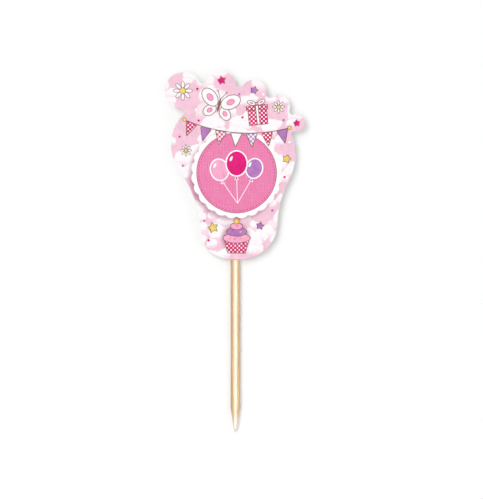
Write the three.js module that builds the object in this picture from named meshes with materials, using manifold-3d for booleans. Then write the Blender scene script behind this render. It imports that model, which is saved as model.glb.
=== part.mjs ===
// A cupcake topper: a die-cut card in the outline of a bare foot, glued on a wooden pick.
// Millimetres, +Z up. The origin is the point of the pick, on the pick's own axis, and the
// printed face of the card looks along -Y. The pick runs up behind the card, held off it by
// a thin film of hot-melt glue that swells into a dab at each end of the join.
import * as THREE from "three";
import { mergeVertices } from "three/addons/utils/BufferGeometryUtils.js";
import Module from "manifold-3d";

const wasm = await Module();
wasm.setup();

// The pick, a standard round cocktail stick with one sharpened end.
const PICK_LENGTH = 65;
const PICK_RADIUS = 1.05;
const POINT_LENGTH = 5.5; // the sharpened length
const POINT_FLAT_RADIUS = 0.1; // real points are never quite sharp
const POINT_FULLNESS = 0.75; // 1 is a straight cone, less is a rounder point
const END_CHAMFER = 0.15; // at the sawn end
const POINT_STEPS = 8;
const PICK_SIDES = 28;

// The card.
const CARD_THICKNESS = 0.4; // 350 g/m2 board
const PICK_SHOWN = 38.1; // bare pick below the lowest edge of the card
const ARC_ERROR = 0.006; // how far a straight step of the outline may stand off its arc

// The outline of the foot is a chain of arcs, each tangent to the next. Headings are in
// degrees from +X, which is the side of the little toe, towards +Z.
// The heel is one wide arc round two rounder corners, each at its heading from the middle.
const HEEL = { radius: 11.3, offset: 0.25 }; // the middle stands off the pick's axis
const OUTER_CORNER = { radius: 7.9, heading: -70 };
const INNER_CORNER = { radius: 5.95, heading: -110 };

// From the outer corner the chain goes up to the ball, along the toes and down to the
// inner ball. Each lobe comes after a hollow with the radius inlet. The hollow's middle
// lies at leaveAngle from the middle of the lobe before, and the lobe's own middle at
// arriveAngle from the middle of the hollow.
const LOBES = {
  outer_ball: { inlet: 23, leaveAngle: -2, arriveAngle: 152.4, radius: 12 },
  little_toe: { inlet: 0.7, leaveAngle: 20.5, arriveAngle: 81.5, radius: 1.9 },
  fourth_toe: { inlet: 0.85, leaveAngle: 105.5, arriveAngle: 162, radius: 2.5 },
  third_toe: { inlet: 0.75, leaveAngle: 127, arriveAngle: 174.5, radius: 2.9 },
  second_toe: { inlet: 0.95, leaveAngle: 145, arriveAngle: 185, radius: 3.15 },
  big_toe: { inlet: 1.0, leaveAngle: 162.5, arriveAngle: 211, radius: 4.1 },
  inner_ball: { inlet: 0.6, leaveAngle: 266.5, arriveAngle: 314.5, radius: 9.4 },
};
const ARCH_RADIUS = 28; // the hollow between the inner ball and the inner corner

// The glue.
const GLUE_FILM = 0.2; // between the card and the pick
const GLUE_CLEARANCE = 0.05; // between the glue and the pick it was squeezed round
const LOWER_DAB = { width: 5.6, length: 8.5, height: 1.0 };
const UPPER_DAB = { width: 6.4, length: 9.5, height: 1.15 };
const LOWER_DAB_ABOVE_EDGE = 6.2; // from the card's lowest edge to the middle of the dab
const UPPER_DAB_BELOW_END = 5.6; // from the pick's sawn end to the middle of the dab
const DAB_SIDES = 32;
const DAB_RINGS = 20;

const CARD_BACK = -(PICK_RADIUS + GLUE_FILM); // Y of the unprinted face

const COLOURS = {
  card: { color: "#f7cddf", roughness: 0.42, metalness: 0 },
  wood: { color: "#dcb98a", roughness: 0.5, metalness: 0 },
  glue: { color: "#efe9d8", roughness: 0.3, metalness: 0 },
};

const material = (finish) => new THREE.MeshStandardMaterial(COLOURS[finish]);

function named(name, geometry, finish) {
  const mesh = new THREE.Mesh(geometry, material(finish));
  mesh.name = name;
  return mesh;
}

function toSolid(geometry) {
  const bare = geometry.clone();
  for (const name of ["normal", "uv"]) bare.deleteAttribute(name);
  const merged = mergeVertices(bare);
  return new wasm.Manifold(
    new wasm.Mesh({
      numProp: 3,
      vertProperties: new Float32Array(merged.attributes.position.array),
      triVerts: new Uint32Array(merged.index.array),
    }),
  );
}

function toGeometry(solid) {
  const mesh = solid.getMesh();
  const geometry = new THREE.BufferGeometry();
  geometry.setAttribute(
    "position",
    new THREE.BufferAttribute(mesh.vertProperties, mesh.numProp),
  );
  geometry.setIndex(new THREE.BufferAttribute(mesh.triVerts, 1));
  geometry.computeVertexNormals();
  return geometry;
}

// The point at a distance and a heading, in degrees, from another.
function from({ x, z }, distance, heading) {
  const angle = THREE.MathUtils.degToRad(heading);
  return { x: x + distance * Math.cos(angle), z: z + distance * Math.sin(angle) };
}

// The hollow of a radius that touches two lobes from outside, on the right-hand side of
// the way from a to b.
function hollowBetween(a, b, radius) {
  const [reachA, reachB] = [a.radius + radius, b.radius + radius];
  const span = Math.hypot(b.x - a.x, b.z - a.z);
  const along = (span ** 2 + reachA ** 2 - reachB ** 2) / (2 * span);
  const across = Math.sqrt(reachA ** 2 - along ** 2);
  const [ux, uz] = [(b.x - a.x) / span, (b.z - a.z) / span];
  return {
    x: a.x + ux * along + uz * across,
    z: a.z + uz * along - ux * across,
    radius,
    turn: -1,
  };
}

// The circles of the outline in their order, anticlockwise, each tangent to the next.
// Turn is 1 where the outline goes anticlockwise round the circle, or -1 in a hollow.
function footCircles() {
  const heel = { x: HEEL.offset, z: 0, radius: HEEL.radius, turn: 1 };
  const corner = ({ radius, heading }) => ({
    ...from(heel, HEEL.radius - radius, heading),
    radius,
    turn: 1,
  });
  const circles = [heel, corner(OUTER_CORNER)];
  for (const { inlet, leaveAngle, arriveAngle, radius } of Object.values(LOBES)) {
    const before = circles.at(-1);
    const hollow = from(before, before.radius + inlet, leaveAngle);
    const lobe = from(hollow, inlet + radius, arriveAngle);
    circles.push(
      { ...hollow, radius: inlet, turn: -1 },
      { ...lobe, radius, turn: 1 },
    );
  }
  const innerCorner = corner(INNER_CORNER);
  circles.push(hollowBetween(circles.at(-1), innerCorner, ARCH_RADIUS), innerCorner);
  return circles;
}

// The heading, in radians, from a circle's middle to the point where it touches another.
function touch(circle, other) {
  const heading = Math.atan2(other.z - circle.z, other.x - circle.x);
  const inside = circle.turn === other.turn && circle.radius < other.radius;
  return inside ? heading + Math.PI : heading;
}

// Points along a circle from one heading to another, without the last one.
function arcPoints({ x, z, radius, turn }, start, end) {
  const full = 2 * Math.PI;
  const sweep = (((turn * (end - start)) % full) + full) % full;
  const widest = 2 * Math.acos(1 - ARC_ERROR / radius);
  const steps = Math.max(2, Math.ceil(sweep / widest));
  return Array.from({ length: steps }, (_, i) => {
    const angle = start + (turn * sweep * i) / steps;
    return new THREE.Vector2(x + radius * Math.cos(angle), z + radius * Math.sin(angle));
  });
}

// The whole outline, anticlockwise, with its lowest point at height 0.
function footOutline() {
  const circles = footCircles();
  const points = circles.flatMap((circle, i) => {
    const before = circles.at(i - 1);
    const after = circles[(i + 1) % circles.length];
    return arcPoints(circle, touch(circle, before), touch(circle, after));
  });
  const lowest = Math.min(...points.map((point) => point.y));
  return points.map((point) => point.setY(point.y - lowest));
}

// The die-cut card, printed face towards -Y.
function card() {
  const shape = new THREE.Shape(footOutline());
  const geometry = new THREE.ExtrudeGeometry(shape, {
    depth: CARD_THICKNESS,
    bevelEnabled: false,
  });
  geometry.rotateX(Math.PI / 2); // the outline stands up, and its thickness runs to -Y
  const mesh = named("foot_card", geometry, "card");
  mesh.position.set(0, CARD_BACK, PICK_SHOWN);
  return mesh;
}

// The pick, turned about Z from its point up to its sawn end.
function pick() {
  const profile = [new THREE.Vector2(0, 0)];
  for (let i = 0; i <= POINT_STEPS; i += 1) {
    const share = i / POINT_STEPS;
    const swell = (PICK_RADIUS - POINT_FLAT_RADIUS) * share ** POINT_FULLNESS;
    profile.push(
      new THREE.Vector2(POINT_FLAT_RADIUS + swell, POINT_LENGTH * share),
    );
  }
  profile.push(
    new THREE.Vector2(PICK_RADIUS, PICK_LENGTH - END_CHAMFER),
    new THREE.Vector2(PICK_RADIUS - END_CHAMFER, PICK_LENGTH),
    new THREE.Vector2(0, PICK_LENGTH),
  );
  const geometry = new THREE.LatheGeometry(profile, PICK_SIDES);
  geometry.rotateX(Math.PI / 2); // the lathe turns about Y, and the pick stands along Z
  return named("wooden_pick", geometry, "wood");
}

// A dab of glue: a low mound on the back of the card, with a channel that the pick lies in.
function glueDab(name, { width, length, height }, middle) {
  const mound = new THREE.SphereGeometry(1, DAB_SIDES, DAB_RINGS);
  mound.scale(width / 2, height, length / 2);
  mound.translate(0, CARD_BACK, middle);
  const behindCard = new THREE.BoxGeometry(width, height, length);
  behindCard.translate(0, CARD_BACK + height / 2, middle);
  const channelRadius = PICK_RADIUS + GLUE_CLEARANCE;
  const channel = new THREE.CylinderGeometry(
    channelRadius,
    channelRadius,
    2 * length,
    PICK_SIDES,
  );
  channel.rotateX(Math.PI / 2);
  channel.translate(0, 0, middle);
  const dab = toSolid(mound)
    .intersect(toSolid(behindCard))
    .subtract(toSolid(channel));
  return named(name, toGeometry(dab), "glue");
}

const topper = new THREE.Group();
topper.add(
  card(),
  pick(),
  glueDab("lower_glue_dab", LOWER_DAB, PICK_SHOWN + LOWER_DAB_ABOVE_EDGE),
  glueDab("upper_glue_dab", UPPER_DAB, PICK_LENGTH - UPPER_DAB_BELOW_END),
);

export default topper;
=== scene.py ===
"""A cupcake topper: a printed card in the outline of a foot, glued on a wooden pick.

The topper lies on its pick on a pale table top, and the camera looks straight down on it.
Everything is in metres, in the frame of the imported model: +Z runs up the pick to the toes,
and the printed face looks along -Y. The print is laid out in millimetres, across and up.
"""

import math

import bmesh
import bpy
from mathutils import Matrix, Vector, noise


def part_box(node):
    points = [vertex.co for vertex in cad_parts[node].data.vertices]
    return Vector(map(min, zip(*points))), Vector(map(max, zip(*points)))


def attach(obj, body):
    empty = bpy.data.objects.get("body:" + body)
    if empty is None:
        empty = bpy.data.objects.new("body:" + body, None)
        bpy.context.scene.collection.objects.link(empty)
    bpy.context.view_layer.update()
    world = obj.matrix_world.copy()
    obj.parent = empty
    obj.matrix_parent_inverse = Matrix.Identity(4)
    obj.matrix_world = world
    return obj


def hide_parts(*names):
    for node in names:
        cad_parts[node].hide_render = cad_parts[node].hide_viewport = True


MM = 0.001

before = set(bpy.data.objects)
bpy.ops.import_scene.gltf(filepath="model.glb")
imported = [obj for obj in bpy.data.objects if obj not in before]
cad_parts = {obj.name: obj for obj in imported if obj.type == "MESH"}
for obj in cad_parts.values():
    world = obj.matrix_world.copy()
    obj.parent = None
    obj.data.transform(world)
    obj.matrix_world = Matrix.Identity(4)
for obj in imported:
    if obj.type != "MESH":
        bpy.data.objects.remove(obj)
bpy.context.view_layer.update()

card_low, card_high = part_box("foot_card")
pick_low, pick_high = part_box("wooden_pick")
FACE = card_low.y  # the printed face
BACK = card_high.y  # the bare face

# The photograph: its frame, the point of the pick in it, and the size of one pixel.
PHOTO_WIDTH, PHOTO_HEIGHT = 483, 500
POINT_PIXEL = (235.25, 432)
PIXEL = 0.2212 * MM


# Colours.


def colour(red, green, blue):
    """A colour from its screen values, 0 to 255, as the linear values that a shader reads."""

    def linear(value):
        """The curve of the sRGB standard."""
        share = value / 255
        return share / 12.92 if share <= 0.04045 else ((share + 0.055) / 1.055) ** 2.4

    return (linear(red), linear(green), linear(blue), 1)


PALE_PINK = colour(243, 199, 217)
CLOUD_WHITE = colour(255, 250, 252)
HOT_PINK = colour(240, 132, 180)
LINEN_SHADE = colour(232, 110, 164)
DEEP_PINK = colour(186, 76, 126)
LIGHT_PINK = colour(247, 168, 203)
MAGENTA = colour(226, 16, 122)
PURPLE = colour(182, 122, 190)
YELLOW = colour(250, 214, 108)
BROWN = colour(134, 94, 84)
PAPER_WHITE = colour(252, 250, 250)
PRINTED_SHADE = colour(206, 170, 188)
BOARD_SHADE = colour(231, 229, 223)
BOARD_PALE = colour(245, 243, 239)
BOARD_FLECK = colour(220, 216, 208)
EDGE_SHADE = colour(202, 198, 190)
EDGE_PALE = colour(222, 219, 212)
WOOD_DARK = colour(181, 145, 101)
WOOD_PALE = colour(199, 166, 124)
WOOD_STREAK = colour(175, 138, 97)
WOOD_PORE = colour(151, 111, 72)
# the paler wood of the point: fresh-cut wood, and partly painted light
WOOD_CUT_AND_PAINTED_LIGHT = colour(226, 214, 193)
GLUE_CLOUDY = colour(236, 221, 194)
GLUE_CLEAR = colour(245, 236, 219)
WHITE = (1, 1, 1, 1)


# Material building blocks.

FIRST_COLOUR, SECOND_COLOUR, MIXED_COLOUR = 6, 7, 2  # sockets of the Mix node


def add(tree, kind, feeds=None, output=0, **options):
    """Adds a shader node, sets its options and feeds its inputs; returns one output.

    A feed is the output of another node, or a plain value.
    """
    made = tree.nodes.new("ShaderNode" + kind)
    for name, value in options.items():
        setattr(made, name, value)
    for name, feed in (feeds or {}).items():
        if isinstance(feed, bpy.types.NodeSocket):
            tree.links.new(feed, made.inputs[name])
        else:
            made.inputs[name].default_value = feed
    return made.outputs[output]


def maths(tree, operation, first, second, clamp=False):
    """One operation on two numbers."""
    return add(tree, "Math", {0: first, 1: second}, operation=operation, use_clamp=clamp)


def vectors(tree, operation, first, second, output="Vector"):
    """One operation on two places."""
    feeds = {0: first, 1: second}
    return add(tree, "VectorMath", feeds, output=output, operation=operation)


def apart(tree, first, second):
    """The distance between two places."""
    return vectors(tree, "DISTANCE", first, second, output="Value")


def part(tree, places, axis):
    """One coordinate of a place."""
    return add(tree, "SeparateXYZ", {"Vector": places}, output=axis)


def mixed(tree, share, first, second, blend="MIX"):
    """Mixes two colours by a share from 0 to 1."""
    feeds = {"Factor": share, FIRST_COLOUR: first, SECOND_COLOUR: second}
    return add(tree, "Mix", feeds, MIXED_COLOUR, data_type="RGBA", blend_type=blend)


def ramped(tree, value, low, high, bottom=0.0, top=1.0):
    """Maps a value smoothly from low..high to bottom..top."""
    feeds = {"Value": value, "From Min": low, "From Max": high}
    feeds.update({"To Min": bottom, "To Max": top})
    return add(tree, "MapRange", feeds, interpolation_type="SMOOTHSTEP")


def on_card(tree, turn=0.0, across=1, up=1):
    """Millimetres across and up the card as X and Y.

    A pattern on them is squeezed across and up by these numbers, so one below 1 draws it
    out. They are turned after that.
    """
    places = add(tree, "TexCoord", output="Object")
    feeds = {"Vector": places, "Scale": (across / MM, 0, up / MM)}
    feeds["Rotation"] = (-math.pi / 2, 0, turn)
    return add(tree, "Mapping", feeds)


def inside(tree, up=1):
    """Millimetres in a solid. A pattern is squeezed up by a number, as on the card."""
    places = add(tree, "TexCoord", output="Object")
    return add(tree, "Mapping", {"Vector": places, "Scale": (1 / MM, 1 / MM, up / MM)})


def speckle(tree, places, size, detail=2.0, roughness=0.5, distortion=0.0):
    """Noise from 0 to 1 whose blotches are about size millimetres wide."""
    feeds = {"Vector": places, "Scale": 1 / size, "Detail": detail}
    feeds.update({"Roughness": roughness, "Distortion": distortion})
    return add(tree, "TexNoise", feeds)


def finish(name, build, roughness, shine, **settings):
    """Makes a material. Build adds the nodes and returns the colour, bump height, depth.

    Shine is the specular level, where 0.5 is plain gloss. The settings are further inputs
    of the shader, named with an underscore for each space.
    """
    material = bpy.data.materials.new(name)
    material.use_nodes = True
    tree = material.node_tree
    shader = tree.nodes["Principled BSDF"]
    shader.inputs["Roughness"].default_value = roughness
    shader.inputs["Specular IOR Level"].default_value = shine
    for socket, value in settings.items():
        shader.inputs[socket.replace("_", " ")].default_value = value
    base, height, depth = build(tree)
    tree.links.new(base, shader.inputs["Base Color"])
    feeds = {"Height": height, "Distance": depth}
    tree.links.new(add(tree, "Bump", feeds), shader.inputs["Normal"])
    return material


# The materials of the print. Patterns are in millimetres. A fade gives the two values that
# a change starts and ends at, and some fades go on with the shares at those values.

NOISE_SPREAD = (0.3, 0.7)  # most values of a noise lie between these
NOISE_MIDDLE = 0.5
DIAGONAL = math.pi / 4
PAPER_GRAIN = 0.12  # the mottle of coated board
PAPER_RELIEF = 0.004 * MM
POOL = 1.6  # the pools of uneven watercolour
POOL_SWIRL = 0.6
GROUND_UNEVENNESS = 0.05


def paper_grain(tree):
    """The fine mottle that stands up under every ink."""
    return speckle(tree, on_card(tree), PAPER_GRAIN, detail=3)


def washed(tree, tint, unevenness=0.1):
    """A tint with the uneven depth of watercolour."""
    pools = speckle(tree, on_card(tree), POOL, detail=4, distortion=POOL_SWIRL)
    depth = ramped(tree, pools, *NOISE_SPREAD, 1 - unevenness, 1 + unevenness)
    flat = add(tree, "CombineColor", {0: depth, 1: depth, 2: depth})
    return mixed(tree, 1.0, tint, flat, "MULTIPLY")


def printed(name, build):
    """A material in the matt coating that the whole print has."""
    return finish(name, build, roughness=0.55, shine=0.01)


def ink(name, tint, unevenness=0.1):
    """A printed ink of one tint."""

    def build(tree):
        return washed(tree, tint, unevenness), paper_grain(tree), PAPER_RELIEF

    return printed(name, build)


# Clouds are gathered puffs of two sizes. A puff is clear above and fades out below, and
# brush marks show in its white.
PUFFS = (3.6, 2.2)
PUFF_RIM = (0.62, 0.46)  # fade, as shares of the puff's size from its middle
UNDERSIDE = 0.6  # share of the puff's size below its middle where it is faintest
UNDERSIDE_WHITE = 0.1
GATHERING = 5.0  # the size of the patches that have puffs
GATHERED = (0.49, 0.51)  # fade
CLOUD_PLACE = (28, 5, 0)  # moves the clouds to where they lie well among the motifs
WOBBLE, WOBBLE_REACH = 0.9, 1.1  # the ragged edges of the puffs
BRUSH_MARK = 1.0
BRUSH_SHAPE = {"across": 0.5, "up": 1.6}
BRUSH_FADE = (0.3, 0.55, 0.84, 1)


def cloud_share(tree):
    """How white the painted clouds are at a place, from 0 to 1."""
    moved = vectors(tree, "ADD", on_card(tree), CLOUD_PLACE)
    wobble = maths(tree, "SUBTRACT", speckle(tree, moved, WOBBLE, detail=3), NOISE_MIDDLE)
    places = vectors(tree, "ADD", moved, maths(tree, "MULTIPLY", wobble, WOBBLE_REACH))
    white = None
    for size in PUFFS:
        feeds = {"Vector": places, "Scale": 1 / size}
        reach = add(tree, "TexVoronoi", feeds, output="Distance", voronoi_dimensions="2D")
        middle = reach.node.outputs["Position"]
        gathered = speckle(tree, middle, GATHERING, detail=1)
        chosen = ramped(tree, gathered, *GATHERED)
        disc = ramped(tree, reach, *PUFF_RIM)
        height = part(tree, vectors(tree, "SUBTRACT", places, middle), "Y")
        lit = ramped(tree, height, -UNDERSIDE * size, 0, UNDERSIDE_WHITE, 1)
        puff = maths(tree, "MULTIPLY", maths(tree, "MULTIPLY", chosen, disc), lit)
        white = puff if white is None else maths(tree, "MAXIMUM", white, puff)
    brushed = speckle(tree, on_card(tree, **BRUSH_SHAPE), BRUSH_MARK, detail=4)
    return maths(tree, "MULTIPLY", white, ramped(tree, brushed, *BRUSH_FADE))


# Where motifs throw a printed shadow on the ground: across, up and radius.
PRINTED_SHADOWS = [
    (-0.2, 56.7, 10.7),
    (0.1, 43.0, 3.8),
]
SHADOW_SOFTNESS = 1.4


def wash_ground(tree):
    """Pale pink with white clouds, and the shadows printed under the large motifs."""
    pink = washed(tree, PALE_PINK, GROUND_UNEVENNESS)
    ground = mixed(tree, cloud_share(tree), pink, CLOUD_WHITE)
    places = on_card(tree)
    for across, up, radius in PRINTED_SHADOWS:
        reach = apart(tree, places, (across, up, 0))
        dark = ramped(tree, reach, radius, radius - SHADOW_SOFTNESS)
        shaded = mixed(tree, 1.0, ground, PRINTED_SHADE, "MULTIPLY")
        ground = mixed(tree, dark, ground, shaded)
    return ground, paper_grain(tree), PAPER_RELIEF


THREAD = 0.34  # one thread over and one under
WAVE_BAND = math.pi / 10  # the width of a band of the Wave texture at scale 1
CROSSING = 0.5  # how far a thread's stripe shows on the threads that cross it
WEAVE_RELIEF = 0.012 * MM
WEAVE_PALENESS = 0.14
SLUB_WIDTH = 0.5
SLUB_ALONG, SLUB_OVER = 0.2, 3  # how slubs are squeezed along their thread and over it
SLUB_FADE = (0.12, 0.42)


def threads(tree, direction):
    """Stripes from 0 to 1, one to each thread."""
    feeds = {"Vector": on_card(tree), "Scale": WAVE_BAND / THREAD}
    return add(tree, "TexWave", feeds, output="Fac", bands_direction=direction)


def linen(tree):
    """Printed plain weave, whose threads differ a little in depth."""
    weave = mixed(tree, CROSSING, threads(tree, "X"), threads(tree, "Y"), "MULTIPLY")
    weft_places = on_card(tree, across=SLUB_ALONG, up=SLUB_OVER)
    warp_places = on_card(tree, across=SLUB_OVER, up=SLUB_ALONG)
    weft = speckle(tree, weft_places, SLUB_WIDTH, detail=3)
    warp = speckle(tree, warp_places, SLUB_WIDTH, detail=3)
    slubs = ramped(tree, maths(tree, "MULTIPLY", weft, warp), *SLUB_FADE)
    cloth = mixed(tree, slubs, LINEN_SHADE, HOT_PINK)
    paleness = maths(tree, "MULTIPLY", weave, WEAVE_PALENESS)
    return mixed(tree, paleness, cloth, PAPER_WHITE), weave, WEAVE_RELIEF


SPOT_PITCH, SPOT_RADIUS = 0.64, 0.19
SPOT_SOFTNESS = 0.1  # share of the radius, inwards and outwards


def dotted(tree):
    """White spots in diagonal rows on magenta."""
    places = on_card(tree, turn=DIAGONAL)
    corner = vectors(tree, "SNAP", places, (SPOT_PITCH, SPOT_PITCH, 0))
    within = vectors(tree, "SUBTRACT", places, corner)
    reach = apart(tree, within, (SPOT_PITCH / 2, SPOT_PITCH / 2, 0))
    outer = (1 + SPOT_SOFTNESS) * SPOT_RADIUS
    inner = (1 - SPOT_SOFTNESS) * SPOT_RADIUS
    share = ramped(tree, reach, outer, inner)
    cloth = mixed(tree, share, washed(tree, MAGENTA), PAPER_WHITE)
    return cloth, paper_grain(tree), PAPER_RELIEF


CHECK_PITCH = 0.7
STRIPE_DEPTH = 0.5  # so that two crossed stripes give the full tint


def gingham(tint):
    """Crossed diagonal stripes on white, darkest where they cross."""

    def build(tree):
        places = on_card(tree, turn=DIAGONAL)
        stripes = []
        for axis in ("X", "Y"):
            wave = maths(tree, "PINGPONG", part(tree, places, axis), CHECK_PITCH / 2)
            stripes.append(maths(tree, "GREATER_THAN", wave, CHECK_PITCH / 4))
        depth = maths(tree, "MULTIPLY", maths(tree, "ADD", *stripes), STRIPE_DEPTH)
        cloth = mixed(tree, depth, PAPER_WHITE, washed(tree, tint))
        return cloth, paper_grain(tree), PAPER_RELIEF

    return build


# The materials of the board, the pick and the glue, in the same terms.

FIBRE_WIDTH = 0.25
FIBRE_SHAPE = {"across": 0.5, "up": 3, "turn": 0.3}  # the turn is the noise's alone
FIBRE_FADE = (0.35, 0.7)
MOTTLE, MOTTLE_DEPTH = 2.5, 0.25
BOARD_RELIEF = 0.01 * MM


def board_fibres(shade, pale):
    """Bare board: short fibres of two shades and a faint mottle."""

    def build(tree):
        fibres = speckle(tree, on_card(tree, **FIBRE_SHAPE), FIBRE_WIDTH, detail=5)
        mottle = speckle(tree, on_card(tree), MOTTLE, detail=3)
        tint = mixed(tree, ramped(tree, fibres, *FIBRE_FADE), shade, pale)
        flecks = maths(tree, "MULTIPLY", mottle, MOTTLE_DEPTH)
        return mixed(tree, flecks, tint, BOARD_FLECK), fibres, BOARD_RELIEF

    return build


# Marks in the wood have a width, and a number that squeezes them along the pick.
GRAIN, GRAIN_UP, GRAIN_ROUGHNESS = 0.35, 0.03, 0.6
STREAK, STREAK_UP, STREAK_FADE = 0.8, 0.012, (0.45, 0.75, 0, 0.35)
PORE, PORE_UP, PORE_FADE = 0.09, 0.08, (0.62, 0.72, 0, 0.5)
CUT_AND_PAINTED_LIGHT_FADE = (5.0, 1.5, 0, 0.85)  # millimetres above the point, and how much paler it is there: fresh-cut wood, and painted light that makes up for the shade on the point's down-tilted slope
WOOD_RELIEF = 0.006 * MM


def pick_wood(tree):
    """Straight pale grain with fine darker pores; the point is paler, partly as fresh-cut
    wood and partly as painted light.
    """
    grain_places = inside(tree, GRAIN_UP)
    grain = speckle(tree, grain_places, GRAIN, detail=6, roughness=GRAIN_ROUGHNESS)
    streaks = speckle(tree, inside(tree, STREAK_UP), STREAK, detail=3)
    pores = speckle(tree, inside(tree, PORE_UP), PORE)
    height = part(tree, inside(tree), "Z")
    wood = mixed(tree, ramped(tree, grain, *NOISE_SPREAD), WOOD_DARK, WOOD_PALE)
    wood = mixed(tree, ramped(tree, streaks, *STREAK_FADE), wood, WOOD_STREAK)
    wood = mixed(tree, ramped(tree, pores, *PORE_FADE), wood, WOOD_PORE)
    # paler towards the point: fresh-cut wood, and painted light standing in for light on its
    # downward slope
    wood = mixed(tree, ramped(tree, height, *CUT_AND_PAINTED_LIGHT_FADE), wood, WOOD_CUT_AND_PAINTED_LIGHT)
    return wood, grain, WOOD_RELIEF


GLUE_CLOUD, GLUE_BUBBLE = 1.1, 0.18
GLUE_RELIEF = 0.03 * MM


def melted_glue(tree):
    """Cloudy, slightly yellow glue with fine bubbles inside."""
    cloudy = speckle(tree, inside(tree), GLUE_CLOUD, detail=3)
    bubbles = speckle(tree, inside(tree), GLUE_BUBBLE)
    return mixed(tree, cloudy, GLUE_CLOUDY, GLUE_CLEAR), bubbles, GLUE_RELIEF


WASH = printed("wash_print", wash_ground)
BOARD = finish("bare_board", board_fibres(BOARD_SHADE, BOARD_PALE), roughness=0.85, shine=0.1)
CUT_EDGE = finish("cut_edge", board_fibres(EDGE_SHADE, EDGE_PALE), roughness=0.9, shine=0.1)
WHITE_INK = ink("white_ink", PAPER_WHITE, unevenness=0.03)
BROWN_INK = ink("brown_ink", BROWN, unevenness=0.2)
PINK_INK = ink("pink_ink", LIGHT_PINK)
MAGENTA_INK = ink("magenta_ink", MAGENTA, unevenness=0.12)
PURPLE_INK = ink("purple_ink", PURPLE, unevenness=0.12)
YELLOW_INK = ink("yellow_ink", YELLOW)
DEEP_INK = ink("deep_pink_ink", DEEP_PINK, unevenness=0.15)
LINEN = printed("linen_print", linen)
DOTTED = printed("dotted_print", dotted)
CHECKED = printed("checked_print", gingham(MAGENTA))
PURPLE_CHECKED = printed("purple_checked_print", gingham(PURPLE))
WOOD = finish("pick_wood", pick_wood, roughness=0.5, shine=0.28)
GLUE = finish(
    "melted_glue",
    melted_glue,
    roughness=0.22,
    shine=0.5,
    Subsurface_Weight=0.5,
    Subsurface_Scale=0.8 * MM,
    Subsurface_Radius=(1, 0.9, 0.75),
)


# Putting pieces in the scene.


def piece(name, shape, materials, smooth=False):
    """Makes a named piece from a bmesh, riding on the topper."""
    mesh = bpy.data.meshes.new(name)
    for face in shape.faces:
        face.smooth = smooth
    shape.to_mesh(mesh)
    shape.free()
    for material in materials:
        mesh.materials.append(material)
    made = bpy.data.objects.new(name, mesh)
    bpy.context.scene.collection.objects.link(made)
    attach(made, "root")
    return made


# Flat shapes. They are drawn in millimetres in the XY plane, facing +Z.

STAR_POINTS = 5
STAR_DEPTH = 0.52  # share of the radius where the inner corners lie
LOBE_STEPS = 8
ARC_STEPS = 32


def ellipse(width, height, sides=48):
    """A filled ellipse round the origin."""
    shape = bmesh.new()
    size = Matrix.Diagonal((width / 2, height / 2, 1, 1))
    bmesh.ops.create_circle(shape, cap_ends=True, segments=sides, radius=1, matrix=size)
    return shape


def polygon(*corners):
    """A filled outline of a few straight sides."""
    shape = bmesh.new()
    shape.faces.new([shape.verts.new((x, y, 0)) for x, y in corners])
    return shape


def star(radius):
    """A filled star round the origin."""
    shape = bmesh.new()
    made = bmesh.ops.create_circle(
        shape, cap_ends=True, segments=2 * STAR_POINTS, radius=radius
    )
    inner = made["verts"][1::2]
    bmesh.ops.scale(shape, vec=(STAR_DEPTH, STAR_DEPTH, 1), verts=inner)
    return shape


def scalloped(radius, lobes, swell):
    """A round label whose edge runs in small outward lobes."""
    shape = bmesh.new()
    sides = lobes * LOBE_STEPS
    made = bmesh.ops.create_circle(shape, cap_ends=True, segments=sides, radius=radius)
    for vert in made["verts"]:
        turn = math.atan2(vert.co.y, vert.co.x)
        vert.co *= 1 + swell / radius * abs(math.sin(lobes * turn / 2))
    return shape


def arc_line(radius, start, sweep, width):
    """A line of ink along an arc about the origin."""
    shape = bmesh.new()
    ends = [
        shape.verts.new((reach * math.cos(start), reach * math.sin(start), 0))
        for reach in (radius + width / 2, radius - width / 2)
    ]
    edge = shape.edges.new(ends)
    bmesh.ops.spin(
        shape,
        geom=[*ends, edge],
        cent=(0, 0, 0),
        axis=(0, 0, 1),
        angle=sweep,
        steps=ARC_STEPS,
        use_merge=False,
        use_duplicate=False,
    )
    return shape


# The ink is modelled as thin plates on the printed face. A plate's level is how many
# layers it stands up, so that what is drawn later covers what is under it.
LAYER = 0.007
SUNK = 0.006  # how far a plate's underside lies in the card
OUTLINE = 0.16  # the brown ink line round a motif
THIN_OUTLINE = 0.11
CORNER_STEPS = 5
STAR_ROUNDING = 0.22
FACING = 0.5  # a face looks a way when its normal has more than this that way


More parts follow.
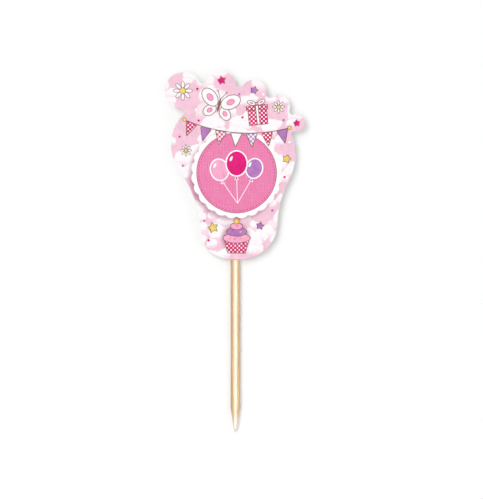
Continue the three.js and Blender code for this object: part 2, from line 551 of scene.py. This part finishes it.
class Print:
    """Plates of ink pressed on the card, gathered in one piece."""

    def __init__(self, name):
        self.name = name
        self.shape = bmesh.new()
        self.inks = []

    def number(self, tint):
        """The material number of an ink on this piece."""
        if tint not in self.inks:
            self.inks.append(tint)
        return self.inks.index(tint)

    def press(self, shape, at, level, fill, turn=0.0, edge=None, outline=0.0, rounding=0.0):
        """Presses a flat shape on the card at a place.

        Edge is the ink of its outline, and outline the width of that line. The rounding
        softens corners, by so much more than the outline that its inner side stays clear.
        """
        for face in shape.faces:
            face.material_index = self.number(fill)
        raised = bmesh.ops.extrude_face_region(
            shape, geom=shape.faces[:], use_keep_orig=True
        )
        tops = [made for made in raised["geom"] if isinstance(made, bmesh.types.BMVert)]
        bmesh.ops.translate(shape, verts=tops, vec=(0, 0, SUNK + LAYER * level))
        bmesh.ops.recalc_face_normals(shape, faces=shape.faces[:])
        if rounding:
            bmesh.ops.bevel(
                shape,
                geom=[side for side in shape.edges if stands(side)],
                offset=rounding,
                segments=CORNER_STEPS,
                profile=0.5,
                affect="EDGES",
                material=-1,
            )
        if edge:
            self.draw_outline(shape, edge, outline)
        across, up = at
        place = (
            Matrix.Translation((across * MM, FACE, up * MM))
            @ Matrix.Rotation(math.pi / 2, 4, "X")
            @ Matrix.Diagonal((MM, MM, MM, 1))
            @ Matrix.Translation((0, 0, -SUNK))
            @ Matrix.Rotation(turn, 4, "Z")
        )
        bmesh.ops.transform(shape, matrix=place, verts=shape.verts[:])
        self.gather(shape)

    def draw_outline(self, shape, tint, width):
        """Draws a line of ink along the edge of a plate and down its sides."""
        upper = [face for face in shape.faces if face.normal.z > FACING]
        rim = bmesh.ops.inset_region(
            shape, faces=upper, thickness=width, use_even_offset=True, use_boundary=True
        )
        walls = [face for face in shape.faces if abs(face.normal.z) < FACING]
        for face in rim["faces"] + walls:
            face.material_index = self.number(tint)

    def gather(self, shape):
        """Adds a plate to the others, by way of a mesh, because a bmesh takes only that."""
        carrier = bpy.data.meshes.new("carrier")
        shape.to_mesh(carrier)
        shape.free()
        self.shape.from_mesh(carrier)
        bpy.data.meshes.remove(carrier)

    def stroke(self, start, end, width, level, fill):
        """Draws a straight line of ink from one place to another."""
        run = Vector(end) - Vector(start)
        half = width / 2
        line = polygon((0, -half), (run.length, -half), (run.length, half), (0, half))
        self.press(line, start, level, fill, turn=math.atan2(run.y, run.x))

    def done(self):
        """Puts the piece in the scene."""
        piece(self.name, self.shape, self.inks)


def stands(edge):
    """True for an edge along the thickness of a plate."""
    return abs(edge.verts[0].co.z - edge.verts[1].co.z) > SUNK / 2


def turned(across, up, angle):
    """A place turned about the origin."""
    return Vector((across, up)) @ Matrix.Rotation(-angle, 2)


# The card.

RIM_ROUNDING = 0.05 * MM
RIM_STEPS = 3
WELD = 0.0001 * MM
FLAT = math.radians(0.5)  # faces that meet flatter than this become one
SHARP = math.radians(60)  # edges sharper than this are rounded


def die_cut_card():
    """The card, printed on the front and bare behind, with softly rounded die-cut edges."""
    shape = bmesh.new()
    shape.from_mesh(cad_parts["foot_card"].data)
    bmesh.ops.remove_doubles(shape, verts=shape.verts[:], dist=WELD)
    bmesh.ops.dissolve_limit(
        shape, angle_limit=FLAT, verts=shape.verts[:], edges=shape.edges[:]
    )
    rim = [
        edge
        for edge in shape.edges
        if len(edge.link_faces) == 2 and edge.calc_face_angle() > SHARP
    ]
    bmesh.ops.bevel(
        shape,
        geom=rim,
        offset=RIM_ROUNDING,
        segments=RIM_STEPS,
        profile=0.5,
        affect="EDGES",
        material=-1,
    )
    surfaces = [WASH, BOARD, CUT_EDGE]
    for face in shape.faces:
        backward = face.normal.y
        surface = WASH if backward < -FACING else BOARD if backward > FACING else CUT_EDGE
        face.material_index = surfaces.index(surface)
    card = piece("die_cut_card", shape, surfaces)
    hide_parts("foot_card")


# The badge in the middle of the print, and the balloons on it.

BADGE = Vector((0.3, 57.3))
BADGE_RADIUS = 8.9
BADGE_LINE = 0.14
BORDER_WIDTH, BORDER_LOBES, LOBE_SWELL = 0.75, 24, 0.45
STITCH_LENGTH, STITCH_WIDTH, STITCHES = 0.42, 0.14, 68
STITCH_INSET = 0.5


def badge():
    """A round linen label with a scalloped white border and a stitched edge."""
    border = Print("badge_border")
    edge = scalloped(BADGE_RADIUS + BORDER_WIDTH, BORDER_LOBES, LOBE_SWELL)
    border.press(edge, BADGE, 1, WHITE_INK)
    border.done()
    cloth = Print("badge_linen")
    disc = ellipse(2 * BADGE_RADIUS, 2 * BADGE_RADIUS, sides=128)
    cloth.press(disc, BADGE, 2, LINEN, edge=DEEP_INK, outline=BADGE_LINE)
    cloth.done()
    seam = Print("badge_stitches")
    for i in range(STITCHES):
        angle = 2 * math.pi * i / STITCHES
        at = BADGE + turned(BADGE_RADIUS - STITCH_INSET, 0, angle)
        dash = ellipse(STITCH_WIDTH, STITCH_LENGTH, sides=12)
        seam.press(dash, at, 3, DEEP_INK, turn=angle)
    seam.done()


BALLOONS = [  # place, width and height, lean in degrees, ink, level
    ((-3.5, 58.0), (4.3, 5.1), 14, PINK_INK, 6),
    ((4.2, 58.3), (4.0, 4.7), -14, PURPLE_INK, 7),
    ((0.3, 59.4), (5.0, 5.9), 0, MAGENTA_INK, 8),
]
BALLOON_LINE = 0.3
KNOT = (0.5, 50.6)  # where the strings meet
STRING_WIDTH = 0.15
STRING_LEVELS_UNDER = 3  # under its balloon
TIE = [(-0.5, -0.55), (0.5, -0.55), (0, 0.4)]  # the knotted end of a balloon
TIE_LINE, TIE_GAP = 0.12, 0.1
GLINT = (0.55, 1.2)
GLINT_LEAN = math.radians(-25)
GLINT_PLACE = (-0.24, 0.18)  # shares of the balloon's width and height


def balloons():
    """Three balloons in white outline, on strings."""
    group = Print("badge_balloons")
    for at, (width, height), lean, tint, level in BALLOONS:
        turn = math.radians(lean)
        middle = Vector(at)
        foot = middle + turned(0, -height / 2 - TIE_GAP, turn)
        group.stroke(foot, KNOT, STRING_WIDTH, level - STRING_LEVELS_UNDER, WHITE_INK)
        group.press(polygon(*TIE), foot, level, tint, turn, WHITE_INK, TIE_LINE)
        body = ellipse(width, height)
        group.press(body, middle, level, tint, turn, WHITE_INK, BALLOON_LINE)
        glint = middle + Vector((GLINT_PLACE[0] * width, GLINT_PLACE[1] * height))
        group.press(ellipse(*GLINT, sides=20), glint, level + 1, WHITE_INK, GLINT_LEAN)
    group.done()


# The bunting.

STRING_LEFT = Vector((-11.2, 69.1))
STRING_RIGHT = Vector((12.0, 67.3))
STRING_SAG = 2.0
PIN_SIZE = 0.9
FLAG_WIDTH, FLAG_HEIGHT = 2.8, 3.4
FLAG_ROUNDING = 0.45
FLAG_CLOTHS = [DOTTED, PURPLE_INK, CHECKED, WHITE_INK, PURPLE_CHECKED, DOTTED, PURPLE_INK]


def bunting():
    """A sagging string of small flags, pinned up right across the ball of the foot."""
    group = Print("bunting")
    chord = STRING_RIGHT - STRING_LEFT
    radius = (chord.length**2 / 4 + STRING_SAG**2) / (2 * STRING_SAG)
    upward = chord.orthogonal().normalized()
    centre = (STRING_LEFT + STRING_RIGHT) / 2 + upward * (radius - STRING_SAG)
    first = STRING_LEFT - centre
    start = math.atan2(first.y, first.x)
    sweep = 2 * math.asin(chord.length / 2 / radius)
    group.press(arc_line(radius, start, sweep, OUTLINE), centre, 6, BROWN_INK)
    for i, cloth in enumerate(FLAG_CLOTHS):
        angle = start + sweep * (i + 0.5) / len(FLAG_CLOTHS)
        at = centre + turned(radius, 0, angle)
        flag = polygon((-FLAG_WIDTH / 2, 0), (0, -FLAG_HEIGHT), (FLAG_WIDTH / 2, 0))
        hang = angle + math.pi / 2
        group.press(flag, at, 5, cloth, hang, BROWN_INK, OUTLINE, FLAG_ROUNDING)
    for end in (STRING_LEFT, STRING_RIGHT):
        pin = ellipse(PIN_SIZE, PIN_SIZE, sides=24)
        group.press(pin, end, 7, YELLOW_INK, edge=BROWN_INK, outline=THIN_OUTLINE)
    group.done()


# The butterfly and the present among the toes.

BUTTERFLY = Vector((-3.6, 72.3))
BUTTERFLY_LEAN = math.radians(-14)
WINGS = [  # across, up, length, width, slant in degrees, level
    (2.35, 1.25, 4.7, 3.1, 38, 3),
    (1.75, -1.55, 3.3, 2.4, -44, 2),
]
SPOT_LENGTH, SPOT_WIDTH = 0.4, 0.42  # shares of the wing's
BODY_WIDTH, BODY_LENGTH = 0.55, 3.0
FEELER_TIP = (1.0, 3.1)
FEELER_WIDTH, FEELER_ROOT = 0.13, 0.2  # the root lies so far in the body
FEELER_KNOB = 0.36


def butterfly():
    """A white butterfly with pink spots."""
    group = Print("butterfly")
    for side in (-1, 1):
        for across, up, length, width, slant, level in WINGS:
            at = BUTTERFLY + turned(side * across, up, BUTTERFLY_LEAN)
            turn = side * math.radians(slant) + BUTTERFLY_LEAN
            wing = ellipse(length, width)
            group.press(wing, at, level, WHITE_INK, turn, BROWN_INK, OUTLINE)
            spot = ellipse(SPOT_LENGTH * length, SPOT_WIDTH * width, sides=24)
            group.press(spot, at, level + 1, PINK_INK, turn, MAGENTA_INK, THIN_OUTLINE)
        root = BUTTERFLY + turned(0, BODY_LENGTH / 2 - FEELER_ROOT, BUTTERFLY_LEAN)
        tip = BUTTERFLY + turned(side * FEELER_TIP[0], FEELER_TIP[1], BUTTERFLY_LEAN)
        group.stroke(root, tip, FEELER_WIDTH, 2, BROWN_INK)
        group.press(ellipse(FEELER_KNOB, FEELER_KNOB, sides=16), tip, 3, BROWN_INK)
    body = ellipse(BODY_WIDTH, BODY_LENGTH, sides=24)
    group.press(body, BUTTERFLY, 6, BROWN_INK, BUTTERFLY_LEAN)
    group.done()


PRESENT = Vector((5.2, 67.9))  # the middle of its foot
PRESENT_LEAN = math.radians(6)
BOX_WIDTH, BOX_HEIGHT = 4.3, 3.4
LID_WIDTH, LID_HEIGHT, LID_OVERLAP = 4.9, 1.15, 0.1
RIBBON_WIDTH = 0.75
BOW = BOX_HEIGHT + LID_HEIGHT  # its foot, a little above the lid
BOW_SLANT = math.radians(24)
BOW_LOOP, LOOP_PLACE = (2.1, 1.15), (1.05, 0.45)  # places are from the bow's foot
LOOP_GAP, GAP_PLACE, GAP_LINE = (0.9, 0.4), (1.1, 0.47), 0.08
BOW_KNOT, KNOT_UP = (0.8, 0.75), 0.2


def upright(width, height):
    """A rectangle that stands on the origin."""
    half = width / 2
    return polygon((-half, 0), (half, 0), (half, height), (-half, height))


def present():
    """A present in spotted paper with a ribbon and a bow."""
    group = Print("present")

    def put(shape, across, up, level, tint, turn=0.0, line=OUTLINE):
        """Presses a plate at a place that counts from the present's foot."""
        at = PRESENT + turned(across, up, PRESENT_LEAN)
        group.press(shape, at, level, tint, PRESENT_LEAN + turn, BROWN_INK, line)

    lid_foot = BOX_HEIGHT - LID_OVERLAP
    put(upright(BOX_WIDTH, BOX_HEIGHT), 0, 0, 1, DOTTED)
    put(upright(LID_WIDTH, LID_HEIGHT), 0, lid_foot, 2, DOTTED)
    put(upright(RIBBON_WIDTH, lid_foot + LID_HEIGHT), 0, 0, 3, WHITE_INK)
    for side in (-1, 1):
        slant = side * BOW_SLANT
        across, up = LOOP_PLACE
        put(ellipse(*BOW_LOOP, sides=32), side * across, BOW + up, 4, WHITE_INK, slant)
        across, up = GAP_PLACE
        gap = ellipse(*LOOP_GAP, sides=20)
        put(gap, side * across, BOW + up, 5, PINK_INK, slant, GAP_LINE)
    put(ellipse(*BOW_KNOT, sides=24), 0, BOW + KNOT_UP, 6, PINK_INK)
    group.done()


# The cupcake on the heel.

CUPCAKE = Vector((0.3, 39.5))  # the middle of the foot of its case
CASE_TOP, CASE_FOOT, CASE_HEIGHT = 5.6, 4.0, 2.9
PLEATS = 6
PLEAT_FOOT = 0.05  # where the pleats start above the foot
SWIRLS = [  # height of the middle, width, depth, ink
    (3.4, 6.2, 2.4, PINK_INK),
    (4.8, 4.7, 2.1, PURPLE_INK),
    (6.0, 2.9, 1.7, PINK_INK),
]
SPRINKLES = [(-1.9, 3.6), (-0.4, 3.2), (1.5, 3.7), (-0.9, 5.0), (0.9, 4.8), (0.1, 6.1)]
SPRINKLE = (0.55, 0.22)
SPRINKLE_TURN = 0.9  # from one to the next
TOP_STAR_UP, TOP_STAR_RADIUS, TOP_STAR_TURN = 7.1, 0.95, 0.15


def cupcake():
    """A cupcake in a pleated spotted case, with three swirls of icing and a star."""
    group = Print("cupcake_print")
    case = polygon(
        (-CASE_FOOT / 2, 0),
        (CASE_FOOT / 2, 0),
        (CASE_TOP / 2, CASE_HEIGHT),
        (-CASE_TOP / 2, CASE_HEIGHT),
    )
    group.press(case, CUPCAKE, 1, DOTTED, edge=BROWN_INK, outline=OUTLINE)
    for i in range(1, PLEATS):
        share = i / PLEATS - 0.5
        foot = CUPCAKE + Vector((CASE_FOOT * share, PLEAT_FOOT))
        top = CUPCAKE + Vector((CASE_TOP * share, CASE_HEIGHT))
        group.stroke(foot, top, THIN_OUTLINE, 2, BROWN_INK)
    for i, (height, width, depth, tint) in enumerate(SWIRLS):
        at = CUPCAKE + Vector((0, height))
        swirl = ellipse(width, depth)
        group.press(swirl, at, 3 + i, tint, edge=BROWN_INK, outline=OUTLINE)
    for i, place in enumerate(SPRINKLES):
        tint = MAGENTA_INK if i % 2 else YELLOW_INK
        at = CUPCAKE + Vector(place)
        group.press(ellipse(*SPRINKLE, sides=12), at, 7, tint, turn=SPRINKLE_TURN * i)
    group.press(
        star(TOP_STAR_RADIUS),
        CUPCAKE + Vector((0, TOP_STAR_UP)),
        8,
        YELLOW_INK,
        TOP_STAR_TURN,
        BROWN_INK,
        THIN_OUTLINE,
        STAR_ROUNDING,
    )
    group.done()


# Small motifs.

DAISIES = [((-11.6, 75.5), 2.2), ((9.6, 71.9), 1.45), ((-10.9, 62.3), 1.35)]
PETALS = 8
PETAL_LENGTH, PETAL_WIDTH, PETAL_REACH, HEART = 0.76, 0.38, 0.62, 0.64  # of the radius


def daisies():
    """White daisies with yellow middles."""
    group = Print("daisies")
    for at, radius in DAISIES:
        middle = Vector(at)
        for i in range(PETALS):
            angle = 2 * math.pi * i / PETALS
            petal = ellipse(PETAL_LENGTH * radius, PETAL_WIDTH * radius, sides=24)
            place = middle + turned(PETAL_REACH * radius, 0, angle)
            group.press(petal, place, 1, WHITE_INK, angle, BROWN_INK, THIN_OUTLINE)
        heart = ellipse(HEART * radius, HEART * radius, sides=32)
        group.press(heart, middle, 2, YELLOW_INK, edge=BROWN_INK, outline=THIN_OUTLINE)
    group.done()


STARS = [  # place, radius, ink, turn
    ((-3.0, 77.8), 1.15, MAGENTA_INK, 0.2),
    ((4.2, 75.6), 1.1, PURPLE_INK, -0.3),
    ((13.6, 68.3), 0.95, MAGENTA_INK, 0.1),
    ((-4.9, 45.2), 1.35, YELLOW_INK, 0.25),
    ((5.5, 45.6), 1.1, PURPLE_INK, -0.2),
    ((11.4, 60.4), 1.15, YELLOW_INK, -0.25),
]


def stars():
    """Small outlined stars with softened points."""
    group = Print("stars")
    for at, radius, tint, turn in STARS:
        shape = star(radius)
        group.press(shape, at, 4, tint, turn, BROWN_INK, THIN_OUTLINE, STAR_ROUNDING)
    group.done()


CONFETTI = [
    (-8.4, 75.9), (-8.7, 71.3), (0.9, 74.7), (1.6, 69.6), (6.2, 74.7), (10.7, 69.0),
    (-12.3, 65.3), (12.0, 64.1), (-6.9, 46.7), (10.9, 56.4), (-7.6, 48.7), (8.2, 49.0),
    (-5.9, 42.4), (6.5, 42.6), (-11.6, 58.9), (-8.1, 68.9),
]
CONFETTI_INKS = [MAGENTA_INK, WHITE_INK, PURPLE_INK]
CONFETTI_SIZE = 0.55


def confetti():
    """Small dots between the motifs."""
    group = Print("confetti")
    for i, at in enumerate(CONFETTI):
        dot = ellipse(CONFETTI_SIZE, CONFETTI_SIZE, sides=20)
        group.press(dot, at, 1, CONFETTI_INKS[i % len(CONFETTI_INKS)])
    group.done()


# The pick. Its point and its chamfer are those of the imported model.

POINT_LENGTH = 5.5 * MM
POINT_FLAT = 0.1 * MM
POINT_FULLNESS = 0.75
END_CHAMFER = 0.15 * MM
POINT_RINGS, SHAFT_RINGS = 12, 90
PICK_SIDES = 48
UNEVENNESS = 0.015
UNEVENNESS_LENGTH = 8  # how much longer it is along the pick than round it


def turned_pick():
    """The pick, spun from a profile, a little uneven as split wood is."""
    radius = (pick_high.x - pick_low.x) / 2
    length = pick_high.z - pick_low.z
    shaft = length - END_CHAMFER - POINT_LENGTH
    heights = [POINT_LENGTH * i / POINT_RINGS for i in range(POINT_RINGS + 1)]
    heights += [POINT_LENGTH + shaft * (i + 1) / SHAFT_RINGS for i in range(SHAFT_RINGS)]
    profile = [(0, 0)]
    for height in heights:
        share = min(1, height / POINT_LENGTH)
        swell = (radius - POINT_FLAT) * share**POINT_FULLNESS
        profile.append((POINT_FLAT + swell, height))
    profile += [(radius - END_CHAMFER, length), (0, length)]
    shape = bmesh.new()
    verts = [shape.verts.new((reach, 0, height)) for reach, height in profile]
    edges = [shape.edges.new(pair) for pair in zip(verts, verts[1:])]
    bmesh.ops.spin(
        shape,
        geom=verts + edges,
        cent=(0, 0, 0),
        axis=(0, 0, 1),
        angle=2 * math.pi,
        steps=PICK_SIDES,
        use_merge=True,
        use_duplicate=False,
    )
    bmesh.ops.remove_doubles(shape, verts=shape.verts[:], dist=WELD)
    bmesh.ops.recalc_face_normals(shape, faces=shape.faces[:])
    for vert in shape.verts:
        x, y, z = vert.co / radius
        sway = 1 - UNEVENNESS * (1 + noise.noise(Vector((x, y, z / UNEVENNESS_LENGTH))))
        vert.co.x *= sway
        vert.co.y *= sway
    pick = piece("turned_pick", shape, [WOOD], smooth=True)
    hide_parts("wooden_pick")


# The glue.

LOWER_GLUE_HEIGHT, UPPER_GLUE_HEIGHT = 1.0 * MM, 1.15 * MM  # over the card's back
GLUE_FINENESS = 5  # how often the mound's faces are divided
LUMP_SIZE = 0.6  # share of the dab's half width, height and length
LUMPINESS = 0.22
LUMPS_INWARD = 0.5  # share of the lumpiness by which the whole mound is smaller


def glue_blob(node, height):
    """A lumpy mound of melted glue on the back of the card, round the pick."""
    low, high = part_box(node)
    middle = (low + high) / 2
    half = (high - low) / 2
    shape = bmesh.new()
    bmesh.ops.create_icosphere(shape, subdivisions=GLUE_FINENESS, radius=1)
    for vert in shape.verts:
        lump = noise.noise(vert.co / LUMP_SIZE + middle / MM)
        vert.co *= 1 - LUMPINESS * (LUMPS_INWARD - lump)
    size = Matrix.Diagonal((half.x, height, half.z, 1))
    place = Matrix.Translation((middle.x, BACK, middle.z)) @ size
    bmesh.ops.transform(shape, matrix=place, verts=shape.verts[:])
    cut = bmesh.ops.bisect_plane(
        shape,
        geom=shape.verts[:] + shape.edges[:] + shape.faces[:],
        plane_co=(0, BACK, 0),
        plane_no=(0, -1, 0),
        clear_outer=True,
    )
    rim = [made for made in cut["geom_cut"] if isinstance(made, bmesh.types.BMEdge)]
    bmesh.ops.edgeloop_fill(shape, edges=rim)
    bmesh.ops.recalc_face_normals(shape, faces=shape.faces[:])
    blob = piece(node.replace("_dab", ""), shape, [GLUE], smooth=True)
    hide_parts(node)


# The table top, the light and the camera.

TABLE_REACH = 0.5  # from its middle to its edges
TABLE_COLOUR = (0.95, 0.95, 0.95, 1)
TABLE_GLOW = 0.07  # so that the table is white where nothing shades it
WORLD_LIGHT = 0.49


def table_top():
    """The pale surface that the pick lies on.

    It shows only to the camera and in shine, and from behind it isn't there, so that the
    light and the view reach the card's back.
    """
    shape = bmesh.new()
    place = Matrix.Translation((0, pick_high.y, 0)) @ Matrix.Rotation(math.pi / 2, 4, "X")
    bmesh.ops.create_grid(
        shape, x_segments=1, y_segments=1, size=TABLE_REACH, matrix=place
    )
    mesh = bpy.data.meshes.new("table_top")
    shape.to_mesh(mesh)
    shape.free()
    table = bpy.data.objects.new("table_top", mesh)
    bpy.context.scene.collection.objects.link(table)
    material = bpy.data.materials.new("pale_table")
    material.use_nodes = True
    tree = material.node_tree
    tree.nodes.remove(tree.nodes["Principled BSDF"])
    rays = tree.nodes.new("ShaderNodeLightPath").outputs
    seen = maths(tree, "MAXIMUM", rays["Is Camera Ray"], rays["Is Glossy Ray"])
    behind = add(tree, "NewGeometry", output="Backfacing")
    shown = maths(tree, "SUBTRACT", seen, behind, clamp=True)
    surface = add(tree, "BsdfDiffuse", {"Color": TABLE_COLOUR})
    glow = add(tree, "Emission", {"Color": WHITE, "Strength": TABLE_GLOW})
    solid = add(tree, "AddShader", {0: surface, 1: glow})
    clear = add(tree, "BsdfTransparent")
    both = add(tree, "MixShader", {0: shown, 1: clear, 2: solid})
    tree.links.new(both, tree.nodes["Material Output"].inputs["Surface"])
    mesh.materials.append(material)


def sky():
    """White to the camera and in shine, and an even soft light on everything else."""
    world = bpy.data.worlds.new("studio")
    world.use_nodes = True
    tree = world.node_tree
    rays = tree.nodes.new("ShaderNodeLightPath").outputs
    seen = rays["Is Camera Ray"]
    for ray in ("Is Glossy Ray", "Is Transmission Ray"):
        seen = maths(tree, "MAXIMUM", seen, rays[ray])
    strength = ramped(tree, seen, 0, 1, WORLD_LIGHT, 1)
    background = tree.nodes["Background"].inputs
    background["Color"].default_value = WHITE
    tree.links.new(strength, background["Strength"])
    bpy.context.scene.world = world


# On a surface that faces the camera the world and the first four lamps add up to about 1.
LAMPS = [  # name, way, share of full white on a surface that faces it, spread in degrees
    ("key", (0.35, 1, -0.28), 0.33, 31),
    ("low", (0.3, 1, 0.2), 0.13, 40),
    ("fill", (-1.1, 1, 0.1), 0.045, 40),
    ("front", (0, 1, 0), 0.06, 40),
    ("right", (-0.91, -0.41, -0.3), 0.94, 20),
    ("left", (0.91, -0.41, -0.3), 0.4, 20),
    ("shine", (-0.2, 1, 0), 2.6, 12),
    ("sheen", (-0.12, 1, 0), 12, 100),
]
FROM_BEHIND = ("right", "left")
SHINE_ONLY = ("shine", "sheen")  # the pale streak on the pick; the others make no shine


def lamp(name, way, share, spread):
    """A broad far lamp.

    One from behind lights only what it falls on, because the card's bright back would
    light the table.
    """
    light = bpy.data.lights.new(name, "SUN")
    light.energy = share * math.pi
    light.angle = math.radians(spread)
    if name in FROM_BEHIND:
        light.cycles.max_bounces = 0
    made = bpy.data.objects.new(name, light)
    made.rotation_euler = Vector(way).to_track_quat("-Z", "Y").to_euler()
    made.visible_glossy = name in SHINE_ONLY
    made.visible_diffuse = name not in SHINE_ONLY
    bpy.context.scene.collection.objects.link(made)


LENS, SENSOR = 200, 36  # millimetres; the sensor spans the height of the frame


def camera():
    """Straight above the print, with the photograph's frame and scale."""
    lens = bpy.data.cameras.new("camera")
    lens.lens = LENS
    lens.sensor_width = SENSOR
    made = bpy.data.objects.new("camera", lens)
    distance = PHOTO_HEIGHT * PIXEL * LENS / SENSOR
    x = (PHOTO_WIDTH / 2 - POINT_PIXEL[0]) * PIXEL
    z = (POINT_PIXEL[1] - PHOTO_HEIGHT / 2) * PIXEL
    made.location = (x, FACE - distance, z)
    made.rotation_euler = (math.pi / 2, 0, 0)
    bpy.context.scene.collection.objects.link(made)
    bpy.context.scene.camera = made


camera()
die_cut_card()
badge()
balloons()
bunting()
butterfly()
present()
cupcake()
daisies()
stars()
confetti()
turned_pick()
glue_blob("lower_glue_dab", LOWER_GLUE_HEIGHT)
glue_blob("upper_glue_dab", UPPER_GLUE_HEIGHT)
table_top()
sky()
for settings in LAMPS:
    lamp(*settings)
bpy.context.scene.view_settings.view_transform = "Standard"
